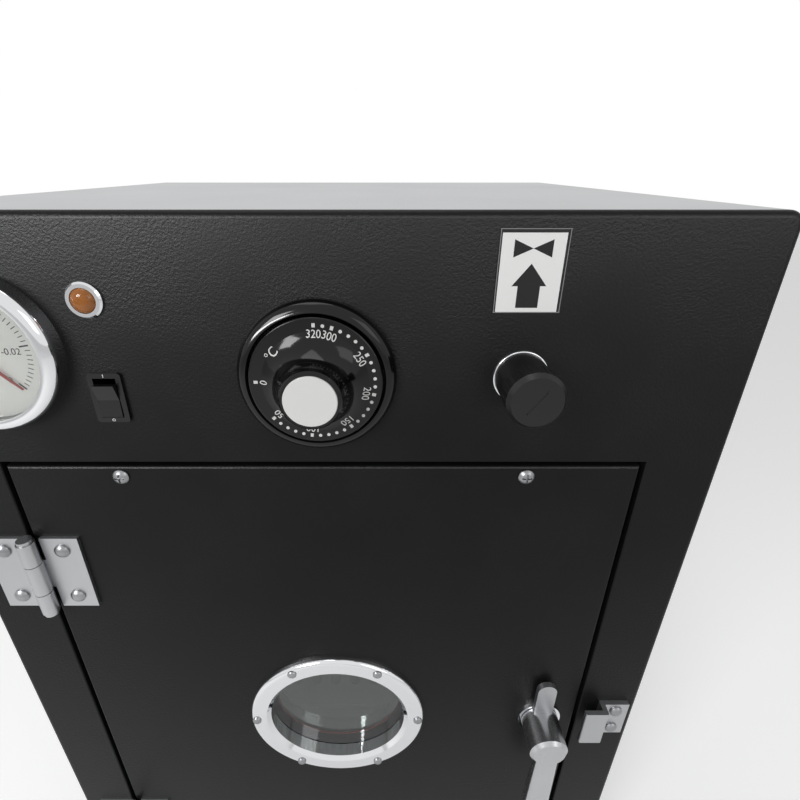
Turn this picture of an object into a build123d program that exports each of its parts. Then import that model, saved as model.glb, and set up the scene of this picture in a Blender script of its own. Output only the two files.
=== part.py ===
from build123d import *
import math
import os

# A compact bench vacuum oven: a painted front with a control fascia over an inset door, a bare
# steel cover, a welded vacuum chamber with its insulation, and the vacuum and heat controls.
# Millimetres, Z up, the front looks along -Y. Depths run back from the front face.

# ---------------------------------------------------------------- casing
body_width = 400.0
body_depth = 350.0
casing_height = 540.0
front_sheet = 1.5
cover_sheet = 1.2
sheet_gap = 0.2
corner_round = 6.0
front_bend = 3.0
frame_flange = 22.0
fascia_height = 118.3
sill_height = 16.9
rim_width = 37.6
pan_flange = 15.0
side_screw_inset = 60.0
cover_seam = 0.3
foot_height = 20.0
foot_radius = 18.0
foot_inset = 45.0

# ---------------------------------------------------------------- door and chamber
door_gap = 2.4
door_bend = 1.5
pan_depth = 20.0
rail_height = 14.0
rail_sheet = 2.0
door_plate_thick = 8.0
door_plate_inset = 3.0
chamber_side_margin = 35.0
chamber_end_margin = 40.0
rear_space = 72.0
chamber_wall = 4.0
chamber_round = 20.0
flange_thick = 8.0
flange_overlap = 8.0
gasket_width = 12.0
gasket_seat = 2.0
gasket_stand = 5.7
seal_gap = 0.3
gasket_margin = 6.0
rib_thick = 8.0
rib_width = 20.0
rib_inset = 52.0
insulation_side = 32.0
insulation_top = 24.0
insulation_back = 24.0
divider_sheet = 1.2
divider_drop = 4.0
divider_lip = 12.0
stand_inset = 25.0
stand_sheet = 2.0

# ---------------------------------------------------------------- shelves and heaters
shelf_thick = 3.0
shelf_side_gap = 2.0
shelf_end_gap = 12.5
rail_leg = 11.0
shelf_rail_sheet = 1.5
slot_length = 40.0
slot_width = 8.0
slot_pitch = 16.0
heater_thick = 3.0
heater_margin = 50.0
heater_gap = 8.0

# ---------------------------------------------------------------- window
window_radius = 42.0
glass_radius = 50.0
glass_thick = 12.0
window_gasket_thick = 1.5
bezel_radius = 58.0
bezel_proud = 4.0
bezel_wall = 5.0
window_screw_count = 6

# ---------------------------------------------------------------- hinges and latch
knuckle_radius = 4.5
hinge_axis_proud = 5.0
hinge_pin_radius = 2.5
hinge_length = 50.0
hinge_leaf = 2.0
hinge_leaf_width = 26.0
hinge_inset = 70.0
hinge_pin_head = 2.0
knuckle_gap = 0.4
latch_inset = 24.0
spindle_radius = 6.0
bush_radius = 9.0
bush_flange = 14.0
bush_plate = 2.5
bush_depth = 14.0
latch_nut_thick = 6.0
cam_thick = 3.5
cam_reach = 38.0
cam_width = 12.0
lever_length = 68.0
lever_hub = 12.0
lever_thick = 9.0
lever_proud = 26.0
lever_tip = 8.0
lever_neck = 7.0
hub_wall = 4.0
keeper_sheet = 3.0
keeper_lip = 12.0
keeper_base = 16.0
keeper_height = 30.0
latch_gap = 0.4

# ---------------------------------------------------------------- thermostat
dial_drop = 71.3
dial_bezel_radius = 36.3
dial_bezel_proud = 7.2
skirt_gap = 0.7
skirt_radius = 30.0
skirt_front = 8.3
skirt_back = 3.2
flare_radius = 24.0
stem_radius = 13.3
knob_front = 27.4
cap_radius = 11.4
cap_proud = 0.6
cap_depth = 2.0
dial_spindle_radius = 3.0
thermostat_radius = 21.0
thermostat_depth = 34.0
bridge_length = 40.0
bridge_width = 12.0
bridge_sheet = 2.0
bridge_screw_x = 14.0
neck_radius = 8.0
neck_length = 7.0
bulb_radius = 3.0
capillary_radius = 1.5
capillary_bend = 9.0
bulb_x = -45.0
bulb_margin = 6.0
capillary_gap = 12.0

# ---------------------------------------------------------------- vacuum release valve
valve_inset = 106.8
valve_drop = 71.6
ring_radius = 12.7
ring_proud = 1.4
knob_radius = 12.0
knob_face_radius = 11.0
valve_knob_front = 28.0
flute_count = 24
flute_radius = 0.8
band_wide = 0.6
band_length = 9.0
knob_bevel = 2.2
knob_web = 6.0
knob_slot_width = 0.7
knob_slot_depth = 0.6
valve_body_radius = 9.0
valve_body_depth = 40.0
valve_spindle_radius = 3.0
needle_radius = 4.0
needle_pin_radius = 1.5
seat_bore = 1.2
collar_wide = 2.0
collar_thick = 2.0
valve_nut_thick = 5.0

# ---------------------------------------------------------------- gauge, switch and lamp
gauge_inset = 50.0
gauge_drop = 59.0
gauge_radius = 33.0
gauge_bezel_radius = 37.0
gauge_bezel_proud = 10.0
gauge_depth = 28.0
gauge_wall = 1.5
gauge_glass_thick = 2.0
gauge_lip = 2.0
gauge_stem_radius = 6.5
gauge_stem_length = 14.0
arbor_radius = 1.0
panel_column_inset = 102.0
lamp_drop = 36.0
lamp_radius = 8.0
lamp_proud = 1.8
lamp_depth = 24.0
lens_depth = 6.0
switch_drop = 82.0
switch_width = 15.5
switch_height = 25.0
switch_rim = 1.5
switch_proud = 1.6
switch_depth = 20.0
switch_well = 10.0
switch_pivot_depth = 4.0
rocker_width = 10.0
rocker_tilt = 8.0

# ---------------------------------------------------------------- label
label_shift = -1.4
label_drop = 24.1
label_width = 28.9
label_height = 35.0
label_thick = 0.4

# ---------------------------------------------------------------- vacuum line and inlet
manifold_x = 20.0
manifold_depth = 130.0
manifold_size = 30.0
tube_radius = 4.0
tube_wall = 1.0
tube_bend = 18.0
port_radius = 7.0
port_bore = 4.5
nozzle_radius = 5.0
nozzle_bore = 3.5
nozzle_flange = 11.0
nozzle_hex = 5.0
nozzle_tail = 16.0
inlet_inset = 60.0
inlet_rise = 70.0
inlet_width = 28.0
inlet_height = 20.0
inlet_flange = 4.0
inlet_proud = 2.5
inlet_depth = 22.0
inlet_wall = 2.0
socket_depth = 17.0
vent_count = 8
vent_length = 60.0
vent_width = 4.0
vent_pitch = 12.0

# ---------------------------------------------------------------- screws and fits
screw_radius = 2.0
screw_head_radius = 4.1
screw_head_height = 2.6
screw_length = 8.0
screw_clearance = 0.2
door_screw_side = 57.0
door_screw_inset = 6.0
small_screw_radius = 1.5
small_head_radius = 2.9
small_head_height = 1.8
running_fit = 0.05
seat_gap = 0.1

# ---------------------------------------------------------------- worked out from the above
top_z = foot_height + casing_height
front_y = -body_depth / 2
door_width = body_width - 2 * (rim_width + door_gap)
door_height = casing_height - fascia_height - sill_height - 2 * door_gap
door_top = top_z - fascia_height - door_gap
door_z = door_top - door_height / 2
opening_width = door_width + 2 * door_gap
opening_height = door_height + 2 * door_gap
step = cover_sheet + sheet_gap
lip_depth = front_bend + sheet_gap
plate_back = pan_depth + door_plate_thick
flange_front = plate_back + gasket_stand + seal_gap
flange_back = flange_front + flange_thick
chamber_width = door_width - 2 * chamber_side_margin
chamber_height = door_height - 2 * chamber_end_margin
chamber_depth = body_depth - rear_space - chamber_wall - flange_front
shelf_depth = chamber_depth - 2 * shelf_end_gap
heater_height = chamber_height - 2 * heater_margin
shell_width = chamber_width + 2 * chamber_wall
shell_height = chamber_height + 2 * chamber_wall
shell_round = chamber_round + chamber_wall
shell_back = flange_front + chamber_depth + chamber_wall
shell_top = door_z + shell_height / 2
rib_depths = (flange_front + rib_inset, shell_back - rib_inset - rib_width)
divider_z = top_z - fascia_height - divider_drop
dial_z = top_z - dial_drop
door_screw_x = door_width / 2 - door_screw_side
hinge_offset = door_height / 2 - hinge_inset
latch_x = door_width / 2 - latch_inset
valve_x = body_width / 2 - valve_inset
label_x = valve_x + label_shift
gauge_x = gauge_inset - body_width / 2
panel_column_x = panel_column_inset - body_width / 2
inlet_x = inlet_inset - body_width / 2
dial_bezel_inner = skirt_radius + skirt_gap
valve_z = top_z - valve_drop
gauge_z = top_z - gauge_drop
hinge_x = -(door_width + door_gap) / 2
hinge_zs = (door_z - hinge_offset, door_z + hinge_offset)
bulb_z = shell_top + bulb_radius + seat_gap
capillary_drop = rib_depths[0] + rib_width + capillary_gap
bulb_start = capillary_drop + capillary_bend + bulb_radius
bulb_end = rib_depths[1] - bulb_margin


# ---------------------------------------------------------------- helpers
def facing(x, depth, z):
    """Location on the front: local x to the right, local y up, local z out of the front."""
    return Plane(origin=(x, front_y + depth, z), x_dir=(1, 0, 0), z_dir=(0, -1, 0)).location


def slab(outline, depth0, depth1, x=0.0, z=0.0):
    """Extrude an outline from one depth to another."""
    return extrude(facing(x, depth1, z) * outline, amount=depth1 - depth0)


def block(x0, x1, depth0, depth1, z0, z1):
    """Box between two corners."""
    centre = ((x0 + x1) / 2, front_y + (depth0 + depth1) / 2, (z0 + z1) / 2)
    return Pos(*centre) * Box(x1 - x0, depth1 - depth0, z1 - z0)


def rod(radius, depth0, depth1, x, z):
    """Round bar along the depth."""
    return slab(Circle(radius), depth0, depth1, x, z)


def post(radius, x, depth, z0, z1):
    """Round bar standing up."""
    return Pos(x, front_y + depth, (z0 + z1) / 2) * Cylinder(radius, z1 - z0)


def turned(outline, x, z):
    """Turn a closed outline of (radius, depth) points and arcs about an axis along the depth."""
    profile = Plane(origin=(x, front_y, z), x_dir=(1, 0, 0), z_dir=(0, 0, 1)).location * make_face(outline)
    return revolve(profile, Axis((x, front_y, z), (0, 1, 0)))


def pan_screw(radius, head_radius, head_height, length):
    """Pan-head screw with its shank along local -Z."""
    dome = ThreePointArc((0, head_height), (head_radius * 0.6, head_height * 0.85),
                         (head_radius, head_height * 0.3))
    sides = Polyline((head_radius, head_height * 0.3), (head_radius, 0), (radius, 0),
                     (radius, -length), (0, -length), (0, head_height))
    return revolve(Plane.XZ * make_face(dome + sides), Axis.Z)


def tube_along(points, bends, radius, bore):
    """Round tube along straight runs joined by arcs, given as (x, depth, z) points."""
    path = FilletPolyline(*[(x, front_y + depth, z) for x, depth, z in points], radius=bends)
    section = Plane(origin=path @ 0, z_dir=path % 0)
    ring = Circle(radius) - Circle(bore) if bore else Circle(radius)
    return sweep(section * ring, path=path)


def save(name, *solids):
    """Write one node as a STEP file, one solid or a group of separate ones."""
    shape = solids[0] if len(solids) == 1 else Compound(children=[Compound(s.wrapped) for s in solids])
    export_step(shape, os.path.join("parts", name + ".step"))


screw = pan_screw(screw_radius, screw_head_radius, screw_head_height, screw_length)
small_screw = pan_screw(small_screw_radius, small_head_radius, small_head_height, screw_length)
screw_hole = Circle(screw_radius + screw_clearance)


def cross_recess():
    """Crossed slots of a driver, cut into a screw head."""
    bar = Box(screw_head_radius * 1.2, 0.9, screw_head_height)
    return Pos(0, 0, screw_head_height * 1.05) * (bar + Rot(0, 0, 90) * bar)


def side_screws():
    """Screws through the cover's sides, into the base pan below and the rear panel's flanges."""
    low = [(depth, foot_height + pan_flange * 0.55) for depth in
           (side_screw_inset, body_depth / 2, body_depth - side_screw_inset)]
    rear = [(body_depth - pan_flange / 2, foot_height + casing_height * share) for share in (0.2, 0.5, 0.8)]
    for side in (-1, 1):
        for depth, z in low + rear:
            yield Plane(origin=(side * body_width / 2, front_y + depth, z), z_dir=(side, 0, 0)).location


def foot_places():
    """Centres of the four feet."""
    for x in (-1, 1):
        for depth in (foot_inset, body_depth - foot_inset):
            yield x * (body_width / 2 - foot_inset), depth


def hinge_screws(side):
    """Screws of the hinge leaves, on the rim (-1) or on the door (1)."""
    for z in hinge_zs:
        for rise in (-hinge_length / 3, hinge_length / 3):
            yield hinge_x + side * hinge_leaf_width * 0.62, z + rise


def keeper_screws():
    """Screws of the latch keeper."""
    x = latch_x + cam_reach + 2 * latch_gap + keeper_sheet + keeper_base / 2
    for rise in (-keeper_height / 3.5, keeper_height / 3.5):
        yield x, door_z + rise


def dial_screws():
    """Screws that hold the thermostat, under the dial's skirt."""
    for side in (-1, 1):
        yield side * bridge_screw_x, dial_z


def door_face_screws():
    """Screws through the door's face into its rails."""
    for x in (-door_screw_x, door_screw_x):
        for side in (-1, 1):
            yield x, door_z + side * (door_height / 2 - door_screw_inset)


def window_screws():
    """Screws round the window bezel."""
    reach = (glass_radius + bezel_radius) / 2
    for i in range(window_screw_count):
        angle = 2 * math.pi * (i + 0.5) / window_screw_count
        yield reach * math.sin(angle), door_z + reach * math.cos(angle)


# ---------------------------------------------------------------- casing
def front_frame():
    """Fascia and rims in one sheet, bent round the outside and round the door opening."""
    z = foot_height + casing_height / 2
    lip = slab(RectangleRounded(body_width, casing_height, corner_round), 0, lip_depth, 0, z)
    lip = fillet(lip.faces().sort_by(Axis.Y)[0].outer_wire().edges(), front_bend)
    inner_round = corner_round - step
    flange = RectangleRounded(body_width - 2 * step, casing_height - 2 * step, inner_round)
    wall = step + front_sheet
    hollow = RectangleRounded(body_width - 2 * wall, casing_height - 2 * wall, inner_round - front_sheet)
    frame = lip + slab(flange, lip_depth, frame_flange, 0, z) - slab(hollow, front_sheet, frame_flange, 0, z)
    sheath = Rectangle(opening_width + 2 * front_sheet, opening_height + 2 * front_sheet)
    frame += slab(sheath, 0, flange_front, 0, door_z)
    frame -= slab(Rectangle(opening_width, opening_height), 0, flange_front, 0, door_z)
    edges = frame.faces().sort_by(Axis.Y)[0].inner_wires()[0].edges()
    frame = fillet(edges, door_bend * 0.6)
    for radius, x, hole_z in ((dial_spindle_radius * 2, 0, dial_z),
                              (valve_body_radius, valve_x, valve_z),
                              (gauge_radius + sheet_gap, gauge_x, gauge_z),
                              (lamp_radius * 0.8 + sheet_gap, panel_column_x, top_z - lamp_drop)):
        frame -= rod(radius, 0, front_sheet, x, hole_z)
    inner = 2 * switch_rim - sheet_gap
    frame -= slab(Rectangle(switch_width - inner, switch_height - inner), 0, front_sheet,
                  panel_column_x, top_z - switch_drop)
    for x, hole_z in [*hinge_screws(-1), *keeper_screws(), *dial_screws()]:
        frame -= slab(screw_hole, 0, front_sheet, x, hole_z)
    return frame


def casing_cover():
    """Bare steel cover over the top and both sides."""
    seam = lip_depth + cover_seam
    z = foot_height + casing_height / 2
    over = RectangleRounded(body_width, casing_height, corner_round)
    under = RectangleRounded(body_width - 2 * cover_sheet, casing_height - 2 * cover_sheet,
                             corner_round - cover_sheet)
    cover = slab(over, seam, body_depth, 0, z) - slab(under, seam, body_depth, 0, z)
    cover -= block(-body_width / 2 + cover_sheet, body_width / 2 - cover_sheet, 0, body_depth,
                   foot_height - 1, foot_height + corner_round + 1)
    for place in side_screws():
        cover -= place * Cylinder(screw_radius + screw_clearance, 4 * cover_sheet)
    return cover


def base_pan():
    """Floor of the casing, with upturned flanges inside the cover."""
    half = body_width / 2 - step
    start = lip_depth + cover_seam
    pan = block(-half, half, start, body_depth, foot_height, foot_height + cover_sheet)
    for side in (-1, 1):
        inner, outer = sorted((side * (half - cover_sheet), side * half))
        pan += block(inner, outer, frame_flange + cover_seam, body_depth - pan_flange - cover_seam,
                     foot_height + cover_sheet, foot_height + pan_flange)
    for place in side_screws():
        pan -= place * Cylinder(screw_radius + screw_clearance, 8 * cover_sheet)
    for x, depth in foot_places():
        pan -= post(screw_radius + screw_clearance, x, depth, foot_height, foot_height + cover_sheet)
    return pan


def rear_panel():
    """Back of the casing, with flanges under the cover, vents and the two service openings."""
    half = body_width / 2 - step
    low = foot_height + cover_sheet + sheet_gap
    high = top_z - step
    round_corner = corner_round - step
    outline = Pos(0, (low + high) / 2) * RectangleRounded(2 * half, high - low, round_corner)
    inner = Pos(0, (low + high) / 2) * RectangleRounded(
        2 * (half - cover_sheet), high - low - 2 * cover_sheet, round_corner - cover_sheet)
    panel = slab(outline, body_depth - pan_flange, body_depth) \
        - slab(inner, body_depth - pan_flange, body_depth - cover_sheet)
    panel -= block(-half, half, body_depth - pan_flange, body_depth - cover_sheet, low, low + pan_flange)
    for place in side_screws():
        panel -= place * Cylinder(screw_radius + screw_clearance, 8 * cover_sheet)
    slot = Rot(0, 0, 90) * SlotOverall(vent_length, vent_width)
    for x in (-body_width / 4, body_width / 4):
        for z in (top_z - fascia_height / 2, door_z):
            for i in range(vent_count):
                shift = (i - (vent_count - 1) / 2) * vent_pitch
                panel -= slab(slot, body_depth - cover_sheet, body_depth, x + shift, z)
    panel -= rod(port_radius, body_depth - cover_sheet, body_depth, manifold_x, valve_z)
    inlet_hole = Rectangle(inlet_width + sheet_gap, inlet_height + sheet_gap)
    panel -= slab(inlet_hole, body_depth - cover_sheet, body_depth, inlet_x, foot_height + inlet_rise)
    return panel


def divider():
    """Shelf between the control space and the hot part, with a turned-down rear edge."""
    half = body_width / 2 - step - cover_sheet - sheet_gap
    end = body_depth - pan_flange - cover_seam
    sheet = block(-half, half, flange_back, end, divider_z, divider_z + divider_sheet)
    sheet += block(-half, half, end - divider_sheet, end, divider_z - divider_lip, divider_z)
    sheet -= post(port_radius + sheet_gap, manifold_x, manifold_depth, divider_z, divider_z + divider_sheet)
    sheet -= post(capillary_radius * 3, bulb_x, capillary_drop, divider_z, divider_z + divider_sheet)
    return sheet


def foot(x, depth):
    """Moulded rubber foot with a well for its screw."""
    centre = Pos(x, front_y + depth, foot_height / 2)
    body = centre * Rot(180, 0, 0) * Cone(foot_radius, foot_radius * 0.85, foot_height)
    well = post(screw_head_radius * 1.3, x, depth, 0, foot_height * 0.6)
    bore = post(screw_radius + screw_clearance, x, depth, 0, foot_height)
    return fillet(body.edges().sort_by(Axis.Z)[0], 1.5) - well - bore


def foot_screw(x, depth):
    """Screw up through a foot into the base pan."""
    upright = pan_screw(screw_radius, screw_head_radius, screw_head_height, foot_height * 0.4 + 6)
    return Pos(x, front_y + depth, foot_height * 0.6) * Rot(180, 0, 0) * upright


# ---------------------------------------------------------------- chamber
def shell_outline(grow=0.0):
    return RectangleRounded(shell_width + 2 * grow, shell_height + 2 * grow, shell_round + grow)


def chamber_shell():
    """Welded steel box, open at the front, with a hole for the vacuum port."""
    inside = RectangleRounded(chamber_width, chamber_height, chamber_round)
    shell = slab(shell_outline(), flange_front, shell_back, 0, door_z)
    shell -= slab(inside, flange_front, shell_back - chamber_wall, 0, door_z)
    return shell - post(port_radius + seat_gap, manifold_x, manifold_depth, door_z, shell_top)


def chamber_flange():
    """Thick sealing frame round the chamber's mouth, behind the front."""
    width = opening_width + 2 * flange_overlap
    height = opening_height + 2 * flange_overlap
    plate = slab(RectangleRounded(width, height, chamber_round / 2), flange_front, flange_back, 0, door_z)
    return plate - slab(shell_outline(), flange_front, flange_back, 0, door_z)


def chamber_rib(depth):
    """Stiffening band welded round the chamber."""
    return slab(shell_outline(rib_thick) - shell_outline(), depth, depth + rib_width, 0, door_z)


def chamber_stand(depth):
    """Channel that carries a rib on the base pan."""
    low = foot_height + cover_sheet
    high = shell_top - shell_height - rib_thick
    reach = chamber_width / 2 - stand_inset
    channel = block(-reach, reach, depth, depth + rib_width, low, high)
    return channel - block(-reach, reach, depth + stand_sheet, depth + rib_width,
                           low + stand_sheet, high - stand_sheet)


def heater_pad(side):
    """Flat heater on the chamber's side wall, between the ribs."""
    inner, outer = sorted((side * shell_width / 2, side * (shell_width / 2 + heater_thick)))
    start = rib_depths[0] + rib_width + heater_gap
    return block(inner, outer, start, rib_depths[1] - heater_gap,
                 door_z - heater_height / 2, door_z + heater_height / 2)


def chamber_insulation():
    """Wool jacket round the chamber, hollowed for the ribs, heaters, stands, port and bulb."""
    width = shell_width + 2 * insulation_side
    height = shell_height + 2 * insulation_top
    outline = RectangleRounded(width, height, shell_round)
    wool = slab(outline, flange_back, shell_back + insulation_back, 0, door_z)
    wool -= slab(shell_outline(), flange_back, shell_back, 0, door_z)
    reach = chamber_width / 2 - stand_inset
    for depth in rib_depths:
        wool -= slab(shell_outline(rib_thick), depth, depth + rib_width, 0, door_z)
        wool -= block(-reach, reach, depth, depth + rib_width, foot_height, door_z - chamber_height / 2)
    for side in (-1, 1):
        wool -= heater_pad(side)
    wool -= post(port_radius + sheet_gap, manifold_x, manifold_depth, door_z, top_z)
    wool -= post(capillary_radius * 3, bulb_x, capillary_drop, door_z, top_z)
    slot = bulb_radius + sheet_gap
    start = capillary_drop - slot
    end = bulb_end + 4.8
    return wool - block(bulb_x - slot, bulb_x + slot, start, end, door_z, bulb_z + slot)


def shelf_rail(side, z):
    """Angle welded to the chamber's side wall."""
    wall = side * chamber_width / 2
    inner, outer = sorted((wall, wall - side * shelf_rail_sheet))
    depth0 = flange_front + (chamber_depth - shelf_depth) / 2
    angle = block(inner, outer, depth0, depth0 + shelf_depth, z - rail_leg, z)
    inner, outer = sorted((wall, wall - side * rail_leg))
    return angle + block(inner, outer, depth0, depth0 + shelf_depth, z - shelf_rail_sheet, z)


def shelf(z):
    """Slotted plate that slides on its rails."""
    width = chamber_width - 2 * shelf_side_gap
    depth0 = flange_front + (chamber_depth - shelf_depth) / 2
    plate = block(-width / 2, width / 2, depth0, depth0 + shelf_depth, z, z + shelf_thick)
    rows = int((shelf_depth - slot_pitch) / (slot_length + slot_width))
    columns = int((width - 2 * rail_leg) / slot_pitch)
    slot = extrude(Rot(0, 0, 90) * SlotOverall(slot_length, slot_width), amount=shelf_thick)
    for row in range(rows):
        for column in range(columns):
            x = (column - (columns - 1) / 2) * slot_pitch
            depth = depth0 + shelf_depth / 2 + (row - (rows - 1) / 2) * (slot_length + slot_width)
            plate -= Pos(x, front_y + depth, z) * slot
    return plate


shelf_zs = (door_z - chamber_height / 6, door_z + chamber_height / 6)


# ---------------------------------------------------------------- door
def door_skin():
    """Folded pan that forms the door's face and edges."""
    skin = slab(Rectangle(door_width, door_height), 0, pan_depth, 0, door_z)
    skin = fillet(skin.faces().sort_by(Axis.Y)[0].edges(), door_bend)
    inside = Rectangle(door_width - 2 * front_sheet, door_height - 2 * front_sheet)
    skin -= slab(inside, front_sheet, pan_depth, 0, door_z)
    skin -= rod(glass_radius + sheet_gap, 0, front_sheet, 0, door_z)
    skin -= rod(bush_radius + sheet_gap, 0, front_sheet, latch_x, door_z)
    for x, z in [*door_face_screws(), *hinge_screws(1)]:
        skin -= slab(screw_hole, 0, front_sheet, x, z)
    for x, z in window_screws():
        skin -= rod(small_screw_radius + screw_clearance, 0, front_sheet, x, z)
    return skin


def door_rail(side):
    """Channel along the door's top or bottom, which carries the inner plate."""
    width = door_width - 2 * (front_sheet + sheet_gap)
    edge = door_height / 2 - front_sheet - sheet_gap
    z0, z1 = sorted((door_z + side * edge, door_z + side * (edge - rail_height)))
    inner0, inner1 = sorted((door_z + side * (edge - rail_sheet), door_z + side * (edge - rail_height)))
    rail = block(-width / 2, width / 2, front_sheet, pan_depth, z0, z1)
    rail -= block(-width / 2, width / 2, front_sheet + rail_sheet, pan_depth - rail_sheet, inner0, inner1)
    for x, z in door_face_screws():
        rail -= rod(screw_radius + screw_clearance, front_sheet, front_sheet + rail_sheet, x, z)
    return rail


def door_insulation():
    """Board inside the door pan, between the rails."""
    width = door_width - 2 * (front_sheet + sheet_gap)
    height = door_height - 2 * (front_sheet + sheet_gap + rail_height + sheet_gap)
    board = slab(Rectangle(width, height), front_sheet, pan_depth, 0, door_z)
    board -= rod(bezel_radius, front_sheet, pan_depth, 0, door_z)
    board -= rod(bush_flange + 3, front_sheet, pan_depth, latch_x, door_z)
    for x, z in hinge_screws(1):
        board -= rod(screw_radius + screw_clearance, front_sheet, screw_length, x, z)
    return board


def gasket_outline(grow):
    inset = gasket_margin + grow
    return RectangleRounded(shell_width + 2 * inset, shell_height + 2 * inset, shell_round + inset)


def door_plate():
    """Rigid inner plate with the window hole and the gasket groove."""
    width = door_width - 2 * door_plate_inset
    height = door_height - 2 * door_plate_inset
    plate = slab(RectangleRounded(width, height, chamber_round / 2), pan_depth, plate_back, 0, door_z)
    plate -= rod(window_radius, pan_depth, plate_back, 0, door_z)
    groove = gasket_outline(gasket_width) - gasket_outline(0)
    return plate - slab(groove, plate_back - gasket_seat, plate_back, 0, door_z)


def door_gasket():
    """Silicone ring with a rounded sealing face."""
    ring = slab(gasket_outline(gasket_width - seat_gap) - gasket_outline(seat_gap),
                plate_back - gasket_seat, plate_back + gasket_stand, 0, door_z)
    back = ring.faces().sort_by(Axis.Y)[-1]
    return fillet(back.edges(), gasket_width * 0.3)


glass_back = pan_depth - window_gasket_thick
glass_front = glass_back - glass_thick


def window_bezel():
    """Turned ring that clamps the window from the front."""
    tube = glass_radius - sheet_gap
    bore = glass_radius - sheet_gap - bezel_wall
    seat = glass_front - seal_gap
    nose = ThreePointArc((bezel_radius, -bezel_proud * 0.4), (bezel_radius - 0.8, -bezel_proud + 0.8),
                         (bezel_radius - 2.4, -bezel_proud))
    rest = Polyline((bezel_radius - 2.4, -bezel_proud), (bore + 2.5, -bezel_proud),
                    (bore, -bezel_proud + 2.5), (bore, seat), (tube, seat), (tube, 0),
                    (bezel_radius, 0), (bezel_radius, -bezel_proud * 0.4))
    ring = turned(nose + rest, 0, door_z)
    for x, z in window_screws():
        ring -= rod(small_screw_radius + screw_clearance, -bezel_proud, 0, x, z)
    return ring


# ---------------------------------------------------------------- hinges
def knuckle(z, low, high):
    """Length of hinge barrel between two heights measured from the hinge's centre."""
    return post(knuckle_radius, hinge_x, -hinge_axis_proud, z + low, z + high)


def hinge_leaf_plate(side, z, low, high, start):
    """Flat of a leaf beside the barrel, from start mm off the axis to the leaf's width."""
    x0, x1 = sorted((hinge_x + side * start, hinge_x + side * hinge_leaf_width))
    return block(x0, x1, -hinge_leaf, 0, z + low, z + high)


def hinge_half(side, z, spans, pin_gap):
    """One leaf with its knuckles, clear of the other leaf's knuckles."""
    half = hinge_length / 2
    away = knuckle_radius + 2 * knuckle_gap
    leaf = hinge_leaf_plate(side, z, -half, half, away)
    for low, high in spans:
        leaf += hinge_leaf_plate(side, z, low, high, knuckle_gap) + knuckle(z, low, high)
    for low, high in spans:
        leaf -= post(hinge_pin_radius + pin_gap, hinge_x, -hinge_axis_proud, z + low, z + high)
    for x, screw_z in hinge_screws(side):
        leaf -= slab(screw_hole, -hinge_leaf, 0, x, screw_z)
    return leaf


middle = hinge_length / 5
outer_spans = [(-hinge_length / 2, -middle - knuckle_gap), (middle + knuckle_gap, hinge_length / 2)]
middle_span = [(-middle, middle)]


def hinge_pin(z):
    """Pin with two button heads."""
    pin = post(hinge_pin_radius, hinge_x, -hinge_axis_proud, z - hinge_length / 2, z + hinge_length / 2)
    for end in (-1, 1):
        z0, z1 = sorted((z + end * hinge_length / 2, z + end * (hinge_length / 2 + hinge_pin_head)))
        pin += post(knuckle_radius - 0.7, hinge_x, -hinge_axis_proud, z0, z1)
    return pin


# ---------------------------------------------------------------- latch
cam_front = -bush_plate - latch_gap - cam_thick


def latch_bush():
    """Flanged bush and its nut, which carry the spindle in the door's face."""
    bore = spindle_radius + running_fit
    bush = rod(bush_flange, -bush_plate, 0, latch_x, door_z)
    bush += rod(bush_radius, 0, bush_depth, latch_x, door_z)
    return bush - rod(bore, -bush_plate, bush_depth, latch_x, door_z)


def latch_nut():
    """Hexagon nut behind the door's face."""
    hexagon = RegularPolygon(bush_flange, 6) - Circle(bush_radius + seat_gap)
    return slab(hexagon, front_sheet, front_sheet + latch_nut_thick, latch_x, door_z)


def latch_spindle():
    """Spindle with a retaining collar behind the bush."""
    end = bush_depth + collar_thick
    shaft = rod(spindle_radius, -lever_proud + hub_wall, end, latch_x, door_z)
    return shaft + rod(spindle_radius + collar_wide, bush_depth + latch_gap, end, latch_x, door_z)


def latch_cam():
    """Tongue that swings behind the keeper's lip, pointing up when released."""
    straight = cam_reach - cam_width / 2
    arm = Pos(0, straight / 2) * Rectangle(cam_width, straight) + Pos(0, straight) * Circle(cam_width / 2)
    outline = Circle(lever_hub) + arm - Circle(spindle_radius + seat_gap)
    return slab(outline, cam_front, cam_front + cam_thick, latch_x, door_z)


def latch_lever():
    """Cast handle hanging down from its hub, with a swollen grip."""
    neck = Pos(0, -lever_hub * 0.2) * Circle(lever_neck)
    tip = Pos(0, lever_tip - lever_length) * Circle(lever_tip)
    arm = make_hull([*neck.edges(), *tip.edges()])
    grip = slab(arm, -lever_proud, -lever_proud + lever_thick, latch_x, door_z)
    grip = fillet(grip.edges().filter_by(GeomType.LINE, reverse=True), 2.5)
    hub = rod(lever_hub, -lever_proud, cam_front, latch_x, door_z)
    hub = chamfer(hub.edges().sort_by(Axis.Y)[0], 2)
    floor = -lever_proud + hub_wall - seat_gap
    return hub + grip - rod(spindle_radius + seat_gap, floor, cam_front, latch_x, door_z)


def latch_keeper():
    """Z-shaped plate on the rim: the cam turns in behind its lip."""
    x0 = latch_x + cam_reach + 2 * latch_gap
    lip_back = cam_front - latch_gap
    lip_front = lip_back - keeper_sheet
    z0 = door_z - keeper_height / 2
    z1 = door_z + keeper_height / 2
    keeper = block(x0 - keeper_lip, x0 + keeper_sheet, lip_front, lip_back, z0, z1)
    keeper += block(x0, x0 + keeper_sheet, lip_front, 0, z0, z1)
    keeper += block(x0, x0 + keeper_sheet + keeper_base, -keeper_sheet, 0, z0, z1)
    keeper = fillet(keeper.edges().filter_by(Axis.Z).group_by(Axis.Y)[0], 1.2)
    for x, z in keeper_screws():
        keeper -= slab(screw_hole, -keeper_sheet, 0, x, z)
    return keeper


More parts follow.
